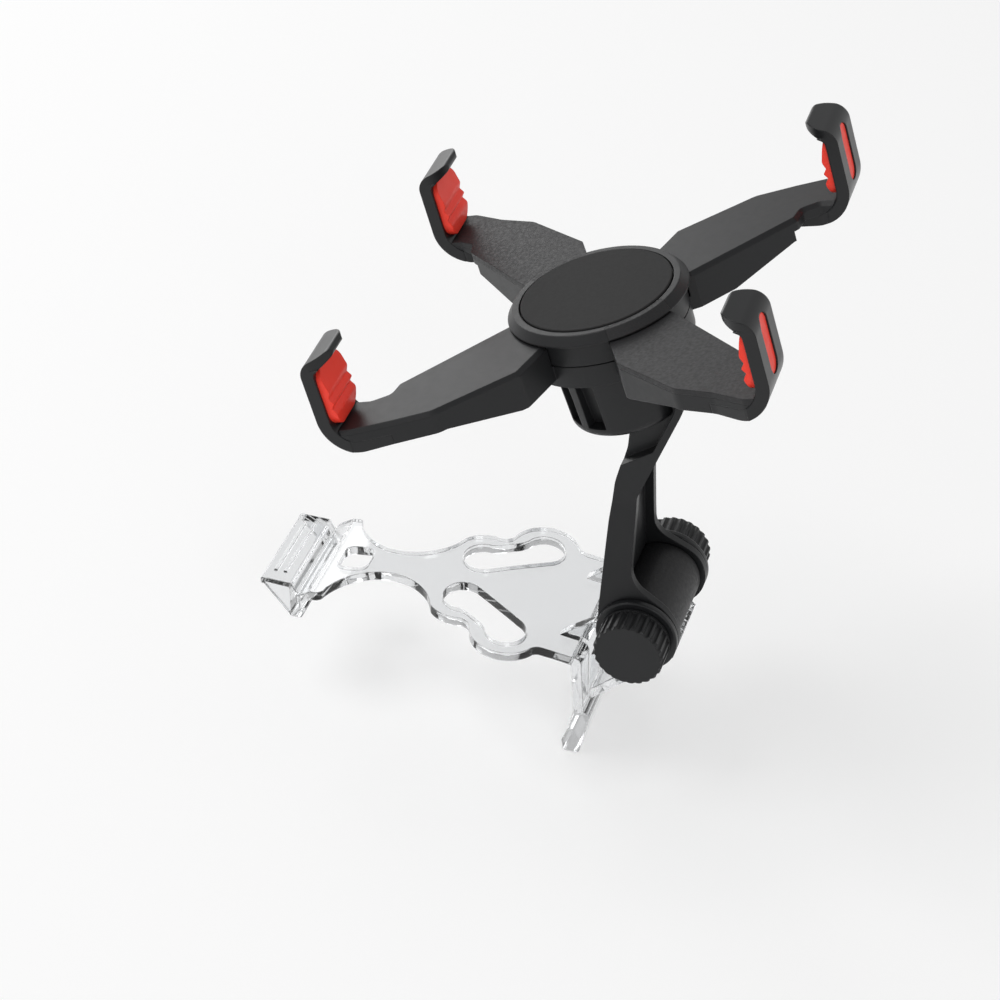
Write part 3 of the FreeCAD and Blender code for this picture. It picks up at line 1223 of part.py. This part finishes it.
def main():
    os.makedirs("parts", exist_ok=True)
    save("saddle_bracket", saddle_bracket())
    save("hinge_barrel", hinge_barrel())
    save("barrel_screws", barrel_screws())
    save("right_washer", friction_washer())
    save("left_washer", mirrored_x(friction_washer()))
    save("support_arm", support_arm())
    save("cup_cap", to_head(cup_cap()))
    save("right_collar", collar())
    save("left_collar", mirrored_x(collar()))
    save("right_knob", knob(1))
    save("left_knob", knob(-1))
    save("hinge_bolt", hinge_bolt())
    save("knob_nut", knob_nut())
    save("upper_bar", on_swivel(upper_bar()))
    save("lower_bar", on_swivel(lower_bar()))
    save("friction_ring", on_swivel(friction_ring()))
    save("centre_pad", on_swivel(centre_pad()))
    save("swivel_bolt", on_swivel(swivel_bolt()))
    save("swivel_washer", on_swivel(swivel_washer()))
    save("cone_washer", on_swivel(cone_washer()))
    save("swivel_nut", on_swivel(swivel_nut()))
    save("rear_right_cover", on_swivel(bar_cover()))
    save("front_left_cover", on_swivel(opposite(bar_cover())))
    for corner, (place, corners, hook_u) in HOOK_PLACES.items():
        save(corner + "_hook", on_swivel(place(hook(corners, hook_u))))
        save(corner + "_grip", on_swivel(place(shifted(grip(), hook_u))))
    upper_screw = shifted(hook_screw(), UPPER_HOOK_U)
    lower_screw = shifted(hook_screw(), LOWER_HOOK_U)
    save("upper_screws", [on_swivel(at_rear_right(upper_screw)), on_swivel(at_front_left(upper_screw))])
    save("lower_screws", [on_swivel(at_front_right(lower_screw)), on_swivel(at_rear_left(lower_screw))])


main()
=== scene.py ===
# %% [markdown]
# This lesson dresses a clip that holds a phone on four padded hooks. The solids arrive
# finished, in metres, in their own frame: +X to the user's right, -Y towards the user, +Z up.
# We could model the forms again, but the solids already carry them all, down to the flutes of
# the knobs and the ribs of the tab. So our work is the finishes, the light and the camera.

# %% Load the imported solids
import json
import math

import bmesh
import bpy
from mathutils import Matrix, Vector


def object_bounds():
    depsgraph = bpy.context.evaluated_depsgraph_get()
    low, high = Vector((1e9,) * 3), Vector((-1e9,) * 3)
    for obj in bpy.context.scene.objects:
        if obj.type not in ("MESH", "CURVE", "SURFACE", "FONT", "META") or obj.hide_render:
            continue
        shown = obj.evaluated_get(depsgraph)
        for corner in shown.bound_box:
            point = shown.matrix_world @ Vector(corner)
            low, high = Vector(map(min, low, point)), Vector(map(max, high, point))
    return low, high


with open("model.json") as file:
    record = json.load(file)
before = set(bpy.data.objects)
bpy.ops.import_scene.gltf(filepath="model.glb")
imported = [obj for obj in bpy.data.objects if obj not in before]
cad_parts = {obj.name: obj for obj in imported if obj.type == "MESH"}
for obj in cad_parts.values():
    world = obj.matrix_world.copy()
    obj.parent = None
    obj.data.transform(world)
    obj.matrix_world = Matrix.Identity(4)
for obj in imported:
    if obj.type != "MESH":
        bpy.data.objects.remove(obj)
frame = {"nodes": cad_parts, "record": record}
cad_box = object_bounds()
nodes = frame["nodes"]
print("solids:", len(nodes), "box:", cad_box)

# %% [markdown]
# The camera comes first, so that every finish is judged from the real viewing angle. The
# photograph was taken with a long lens from above the right side, a little behind. A long
# lens keeps the near and the far hooks almost equal in size. A constraint could aim the
# camera, but we work out its three axes ourselves, because that also sets its slight roll.

# %% Place the camera
MM = 0.001
SENSOR_MM = 36.0
FOCAL_PIXELS = 2900.0
FRAME_PIXELS = 1000
CAMERA_TARGET = Vector((-36.08, 5.51, 0.0)) * MM
CAMERA_DISTANCE = 771.5 * MM
CAMERA_AZIMUTH = math.radians(107.76)
CAMERA_ELEVATION = math.radians(36.98)
CAMERA_ROLL = math.radians(0.18)
CAMERA_CLIP_START = 10 * MM
UPWARDS = Vector((0, 0, 1))


def place_camera():
    """A camera at the fitted direction and distance, looking at the target."""
    away = Vector((math.sin(CAMERA_AZIMUTH) * math.cos(CAMERA_ELEVATION),
                   -math.cos(CAMERA_AZIMUTH) * math.cos(CAMERA_ELEVATION),
                   math.sin(CAMERA_ELEVATION)))
    data = bpy.data.cameras.new("camera")
    data.sensor_width = SENSOR_MM
    data.lens = FOCAL_PIXELS * SENSOR_MM / FRAME_PIXELS
    data.clip_start = CAMERA_CLIP_START
    camera = bpy.data.objects.new("camera", data)
    bpy.context.scene.collection.objects.link(camera)
    right = (-away).cross(UPWARDS).normalized()
    up = right.cross(-away)
    turned_right = right * math.cos(CAMERA_ROLL) + up * math.sin(CAMERA_ROLL)
    turned_up = up * math.cos(CAMERA_ROLL) - right * math.sin(CAMERA_ROLL)
    axes = Matrix((turned_right, turned_up, away)).transposed()
    place = Matrix.Translation(CAMERA_TARGET + away * CAMERA_DISTANCE)
    camera.matrix_world = place @ axes.to_4x4()
    bpy.context.scene.camera = camera
    return camera


camera = place_camera()
print("camera at", [round(c, 3) for c in camera.matrix_world.translation])

# %% [markdown]
# A finish is more than a colour: moulded plastic has a fine grain, a gloss that is a little
# cloudy, and edges that catch the light. Each finish starts from this plain shader. A mix of
# several shaders could do the same, but one shader with every constant on its own socket is
# easier to read, and it travels well to other programs.

# %% Base shader
PLAIN_SPECULAR = 0.5


def principled(name, colour, roughness, specular=PLAIN_SPECULAR):
    """New material with the constants on the shader's own sockets."""
    material = bpy.data.materials.new(name)
    material.use_nodes = True
    shader = material.node_tree.nodes["Principled BSDF"]
    shader.inputs["Base Color"].default_value = (*colour, 1.0)
    shader.inputs["Roughness"].default_value = roughness
    shader.inputs["Specular IOR Level"].default_value = specular
    return material, shader


print("materials before ours:", len(bpy.data.materials))

# %% [markdown]
# The surface is never quite even, and noise gives it that. A picture wrapped round the part
# could do it too, but it would stretch over the curved faces. Noise that is read in object
# coordinates doesn't stretch, and it stays with the piece in every pose.

# %% Noise on the object
NOISE_DETAIL = 3.0


def object_noise(material, scale_mm):
    """Noise whose features are about scale_mm wide on the object."""
    tree = material.node_tree
    place = tree.nodes.new("ShaderNodeTexCoord")
    noise = tree.nodes.new("ShaderNodeTexNoise")
    noise.inputs["Scale"].default_value = 1.0 / (scale_mm * MM)
    noise.inputs["Detail"].default_value = NOISE_DETAIL
    tree.links.new(place.outputs["Object"], noise.inputs["Vector"])
    return noise


print("noise detail:", NOISE_DETAIL)

# %% [markdown]
# The grain is a relief of a few thousandths of a millimetre, and the mould leaves its sharp
# edges a little round. Real geometry could carry both, at the cost of millions of faces. A
# bump node tilts the shading by the noise instead, and a bevel node rounds it over the edges.

# %% Grain and soft edges
EDGE_SAMPLES = 6


def add_grain(material, shader, scale_mm, height_mm, edge_mm):
    """Fine relief, on normals that are rounded over sharp edges by edge_mm."""
    tree = material.node_tree
    noise = object_noise(material, scale_mm)
    edge = tree.nodes.new("ShaderNodeBevel")
    edge.samples = EDGE_SAMPLES
    edge.inputs["Radius"].default_value = edge_mm * MM
    bump = tree.nodes.new("ShaderNodeBump")
    bump.inputs["Strength"].default_value = 1.0
    bump.inputs["Distance"].default_value = height_mm * MM
    tree.links.new(noise.outputs["Fac"], bump.inputs["Height"])
    tree.links.new(edge.outputs["Normal"], bump.inputs["Normal"])
    tree.links.new(bump.outputs["Normal"], shader.inputs["Normal"])


print("rays for each soft edge:", EDGE_SAMPLES)

# %% [markdown]
# Gloss and colour drift slowly over a moulding. A colour ramp could shape that drift, but the
# noise rarely leaves its middle values. So a map range stretches those to the two roughness
# values, and a plain mix between two close colours is enough for the colour.

# %% Drift of gloss and colour
NOISE_LOW = 0.3
NOISE_HIGH = 0.7


def vary_roughness(material, shader, scale_mm, low, high):
    """Cloudy gloss between two roughness values."""
    tree = material.node_tree
    noise = object_noise(material, scale_mm)
    ramp = tree.nodes.new("ShaderNodeMapRange")
    ramp.inputs["From Min"].default_value = NOISE_LOW
    ramp.inputs["From Max"].default_value = NOISE_HIGH
    ramp.inputs["To Min"].default_value = low
    ramp.inputs["To Max"].default_value = high
    tree.links.new(noise.outputs["Fac"], ramp.inputs["Value"])
    tree.links.new(ramp.outputs["Result"], shader.inputs["Roughness"])


def vary_colour(material, shader, scale_mm, first, second):
    """Slow drift between two close colours."""
    tree = material.node_tree
    noise = object_noise(material, scale_mm)
    blend = tree.nodes.new("ShaderNodeMix")
    blend.data_type = "RGBA"
    blend.inputs["A"].default_value = (*first, 1.0)
    blend.inputs["B"].default_value = (*second, 1.0)
    tree.links.new(noise.outputs["Fac"], blend.inputs["Factor"])
    tree.links.new(blend.outputs["Result"], shader.inputs["Base Color"])


print("noise values stretched:", NOISE_LOW, "to", NOISE_HIGH)

# %% [markdown]
# The arm, the bars, the knobs and the cap are satin mouldings. The covers and the hinge barrel
# have a grained skin. One black with two gloss values could serve for both, but it is the
# coarser grain, more than the gloss, that makes the skin read as a part of its own.

# %% Satin and grained black
def satin_black():
    """Finish of the arm, the bars, the knobs and the cap."""
    material, shader = principled("satin_black", colour=(0.014, 0.0145, 0.0155),
                                  roughness=0.4, specular=0.28)
    vary_colour(material, shader, scale_mm=6.0,
                first=(0.0135, 0.014, 0.015), second=(0.0145, 0.015, 0.016))
    vary_roughness(material, shader, scale_mm=2.0, low=0.38, high=0.42)
    add_grain(material, shader, scale_mm=0.35, height_mm=0.004, edge_mm=0.35)
    return material


def grained_black():
    """Finish of the covers and the hinge barrel."""
    material, shader = principled("grained_black", colour=(0.016, 0.016, 0.017),
                                  roughness=0.5, specular=0.32)
    vary_colour(material, shader, scale_mm=0.4,
                first=(0.008, 0.008, 0.009), second=(0.024, 0.024, 0.025))
    vary_roughness(material, shader, scale_mm=0.8, low=0.42, high=0.58)
    add_grain(material, shader, scale_mm=0.4, height_mm=0.035, edge_mm=0.3)
    return material


finishes = {"black_plastic": satin_black(), "textured_black": grained_black()}
print("finishes:", [material.name for material in finishes.values()])

# %% [markdown]
# The hooks and collars are smoother, and the pad on the head is soft and almost without
# gloss. A darker colour could tell them apart as well, but on black parts the eye goes by
# the reflections, so these two differ mostly in roughness and in specular strength.

# %% Smooth and soft black
def smooth_black():
    """Finish of the hooks and collars."""
    material, shader = principled("smooth_black", colour=(0.012, 0.0125, 0.0135),
                                  roughness=0.3, specular=0.32)
    vary_roughness(material, shader, scale_mm=2.0, low=0.28, high=0.32)
    add_grain(material, shader, scale_mm=0.3, height_mm=0.002, edge_mm=0.45)
    return material


def soft_black():
    """Finish of the pad on the head."""
    material, shader = principled("soft_black", colour=(0.02, 0.02, 0.0202),
                                  roughness=0.6, specular=0.12)
    vary_roughness(material, shader, scale_mm=1.0, low=0.58, high=0.62)
    add_grain(material, shader, scale_mm=0.2, height_mm=0.004, edge_mm=0.25)
    return material


finishes["black_gloss"] = smooth_black()
finishes["soft_black"] = soft_black()
print("finishes:", [material.name for material in finishes.values()])

# %% [markdown]
# The grips are red rubber with a soft, slightly dusty gloss. A lighter red could suggest the
# glow at their edges, but rubber really lets a little light in. A small subsurface amount
# does the same, and it keeps the red warm where the light comes from the side.

# %% Red rubber
def red_rubber():
    """Finish of the four grips."""
    material, shader = principled("red_rubber", colour=(0.93, 0.05, 0.028),
                                  roughness=0.45, specular=0.3)
    shader.inputs["Subsurface Weight"].default_value = 0.06
    shader.inputs["Subsurface Scale"].default_value = 1.0 * MM
    vary_colour(material, shader, scale_mm=5.0,
                first=(0.92, 0.046, 0.025), second=(0.94, 0.055, 0.032))
    vary_roughness(material, shader, scale_mm=3.0, low=0.38, high=0.5)
    add_grain(material, shader, scale_mm=0.3, height_mm=0.005, edge_mm=0.35)
    return material


finishes["red_rubber"] = red_rubber()
print("newest finish:", finishes["red_rubber"].name)

# %% [markdown]
# The saddle is a clear moulding. A half see-through colour would be quick, but clear plastic
# shows mostly at its edges, where it bends the light of the surroundings. Full transmission
# with the plastic's own index does that, and a trace of grey sets it off from the pale floor.

# %% Clear plastic
CLEAR_INDEX = 1.5


def clear_plastic():
    """Finish of the saddle."""
    material, shader = principled("clear_plastic", colour=(0.84, 0.85, 0.86), roughness=0.03)
    shader.inputs["Transmission Weight"].default_value = 1.0
    shader.inputs["IOR"].default_value = CLEAR_INDEX
    vary_roughness(material, shader, scale_mm=8.0, low=0.02, high=0.05)
    add_grain(material, shader, scale_mm=3.0, height_mm=0.01, edge_mm=0.5)
    return material


finishes["clear_plastic"] = clear_plastic()
print("newest finish:", finishes["clear_plastic"].name, "index:", CLEAR_INDEX)

# %% [markdown]
# Bolts, nuts, washers and screws are plain steel, and the friction rings are grey fibre. They
# lie almost out of sight. One grey could serve for all, but a part that is taken apart later
# should show what it is made of, so each gets a simple finish of its own.

# %% Hidden steel and fibre
def plain_steel():
    """Finish of bolts, nuts, washers and screws."""
    material, shader = principled("plain_steel", colour=(0.6, 0.6, 0.6), roughness=0.3)
    shader.inputs["Metallic"].default_value = 1.0
    vary_roughness(material, shader, scale_mm=1.5, low=0.25, high=0.4)
    add_grain(material, shader, scale_mm=0.2, height_mm=0.004, edge_mm=0.2)
    return material


def fibre_grey():
    """Finish of the friction rings."""
    material, shader = principled("fibre_grey", colour=(0.12, 0.12, 0.12), roughness=0.7)
    vary_colour(material, shader, scale_mm=0.6, first=(0.1, 0.1, 0.1), second=(0.15, 0.15, 0.15))
    add_grain(material, shader, scale_mm=0.3, height_mm=0.01, edge_mm=0.2)
    return material


finishes["steel"] = plain_steel()
finishes["fibre"] = fibre_grey()
print("finishes in all:", len(finishes))

# %% [markdown]
# Every solid wears one finish, and the part's record says which. We could name the pieces one
# by one here, but a loop over the record can't forget a screw. The solids keep their meshes as
# they are: only the material in each slot changes.

# %% Give every solid its finish
for entry in frame["record"]["subparts"]:
    solid = nodes[entry["node"]]
    for slot in solid.material_slots:
        slot.material = finishes[entry["material_slot"]]

# %% [markdown]
# A black object is read from broad reflections, so its surroundings matter as much as the
# lamps. A photographed sky could light it, but a plain gradient is enough: pale at the
# horizon and darker above. The tops then take their sheen from one large lamp on the far
# side, and the clear edges find something darker to bend.

# %% World with a soft gradient
HORIZON_LIGHT = 0.85
ZENITH_LIGHT = 0.35
WHITE = (1.0, 1.0, 1.0, 1.0)


def make_world():
    """A white sky whose strength falls from the horizon to the top."""
    world = bpy.data.worlds.new("studio")
    world.use_nodes = True
    tree = world.node_tree
    background = tree.nodes["Background"]
    background.inputs["Color"].default_value = WHITE
    place = tree.nodes.new("ShaderNodeTexCoord")
    split = tree.nodes.new("ShaderNodeSeparateXYZ")
    ramp = tree.nodes.new("ShaderNodeMapRange")
    ramp.inputs["To Min"].default_value = HORIZON_LIGHT
    ramp.inputs["To Max"].default_value = ZENITH_LIGHT
    tree.links.new(place.outputs["Generated"], split.inputs["Vector"])
    tree.links.new(split.outputs["Z"], ramp.inputs["Value"])
    tree.links.new(ramp.outputs["Result"], background.inputs["Strength"])
    bpy.context.scene.world = world
    return world


print("world:", make_world().name)

# %% [markdown]
# The backdrop of the photograph is almost white. A floor that is lit until it is that white
# would lose the soft shadow and flood the clear saddle with light. So the floor's material
# mixes in plain white, and only for rays from the camera, from a gloss or through glass: the
# background turns pale, while the light on the clip stays as it was.

# %% Floor material
FLOOR_COLOUR = (0.96, 0.96, 0.96)
FLOOR_ROUGHNESS = 0.9
FLOOR_SPECULAR = 0.1
FLOOR_WHITE_SHARE = 0.5
VIEW_RAYS = ("Is Glossy Ray", "Is Transmission Ray")


def whiten_for_view(material, shader):
    """Mixes in plain white for camera, mirror and glass rays, but not for lighting."""
    tree = material.node_tree
    path = tree.nodes.new("ShaderNodeLightPath")
    total = path.outputs["Is Camera Ray"]
    for kind in VIEW_RAYS:
        either = tree.nodes.new("ShaderNodeMath")
        either.operation = "MAXIMUM"
        tree.links.new(total, either.inputs[0])
        tree.links.new(path.outputs[kind], either.inputs[1])
        total = either.outputs["Value"]
    share = tree.nodes.new("ShaderNodeMath")
    share.operation = "MULTIPLY"
    share.inputs[1].default_value = FLOOR_WHITE_SHARE
    white = tree.nodes.new("ShaderNodeEmission")
    mix = tree.nodes.new("ShaderNodeMixShader")
    tree.links.new(total, share.inputs[0])
    tree.links.new(share.outputs["Value"], mix.inputs["Fac"])
    tree.links.new(shader.outputs["BSDF"], mix.inputs[1])
    tree.links.new(white.outputs["Emission"], mix.inputs[2])
    tree.links.new(mix.outputs["Shader"], tree.nodes["Material Output"].inputs["Surface"])


floor_white, floor_shader = principled("floor_white", FLOOR_COLOUR, FLOOR_ROUGHNESS, FLOOR_SPECULAR)
whiten_for_view(floor_white, floor_shader)
print("floor material:", floor_white.name)

# %% [markdown]
# The floor is one square sheet just under the lowest point of the clip. A curved backdrop
# would also hide the horizon, but the camera looks down so steeply that a flat sheet fills

# %% Floor
FLOOR_SIZE = 6.0
FLOOR_GAP = 0.2 * MM


def make_floor():
    """A square sheet under the clip."""
    mesh = bpy.data.meshes.new("floor")
    grid = bmesh.new()
    bmesh.ops.create_grid(grid, x_segments=1, y_segments=1, size=FLOOR_SIZE / 2)
    grid.to_mesh(mesh)
    grid.free()
    floor = bpy.data.objects.new("floor", mesh)
    floor.location.z = cad_box[0][2] - FLOOR_GAP
    mesh.materials.append(floor_white)
    bpy.context.scene.collection.objects.link(floor)
    return floor


print("floor height:", round(make_floor().location.z, 4))

# %% [markdown]
# Three soft lamps are enough; a sun would draw hard shadows that the photograph doesn't have.
# The key lamp comes from the front and above. The sheen lamp stands where the tilted tops
# mirror it towards the camera. The fill lamp is weak and near the camera, so that the flutes
# of the knobs and the dark flanks keep some shape.

# %% Lamps
LAMP_AIM = Vector((0.0, 0.03, 0.06))


def area_lamp(name, place, size, watts):
    """A round soft lamp that looks at the middle of the clip."""
    data = bpy.data.lights.new(name, "AREA")
    data.shape = "DISK"
    data.size = size
    data.energy = watts
    lamp = bpy.data.objects.new(name, data)
    lamp.location = place
    lamp.rotation_euler = (LAMP_AIM - Vector(place)).to_track_quat("-Z", "Y").to_euler()
    bpy.context.scene.collection.objects.link(lamp)
    return lamp


lamps = [area_lamp("key_lamp", place=(0.15, -0.55, 1.0), size=0.6, watts=5.0),
         area_lamp("sheen_lamp", place=(-0.8, -0.68, 0.38), size=0.6, watts=2.2),
         area_lamp("fill_lamp", place=(0.9, 0.6, 0.7), size=0.5, watts=2.0)]
print("lamps:", [lamp.name for lamp in lamps])

# %% [markdown]
# The picture is shown through a view transform. The filmic ones soften bright areas and grey
# the red of the rubber. The standard one leaves each colour as its finish gives it.

# %% View
bpy.context.scene.view_settings.view_transform = "Standard"
print("view:", bpy.context.scene.view_settings.view_transform)

# %% [markdown]
# Finishes must not move or grow anything: they only change the material in each slot.

# %% Finish
print("clip dressed")
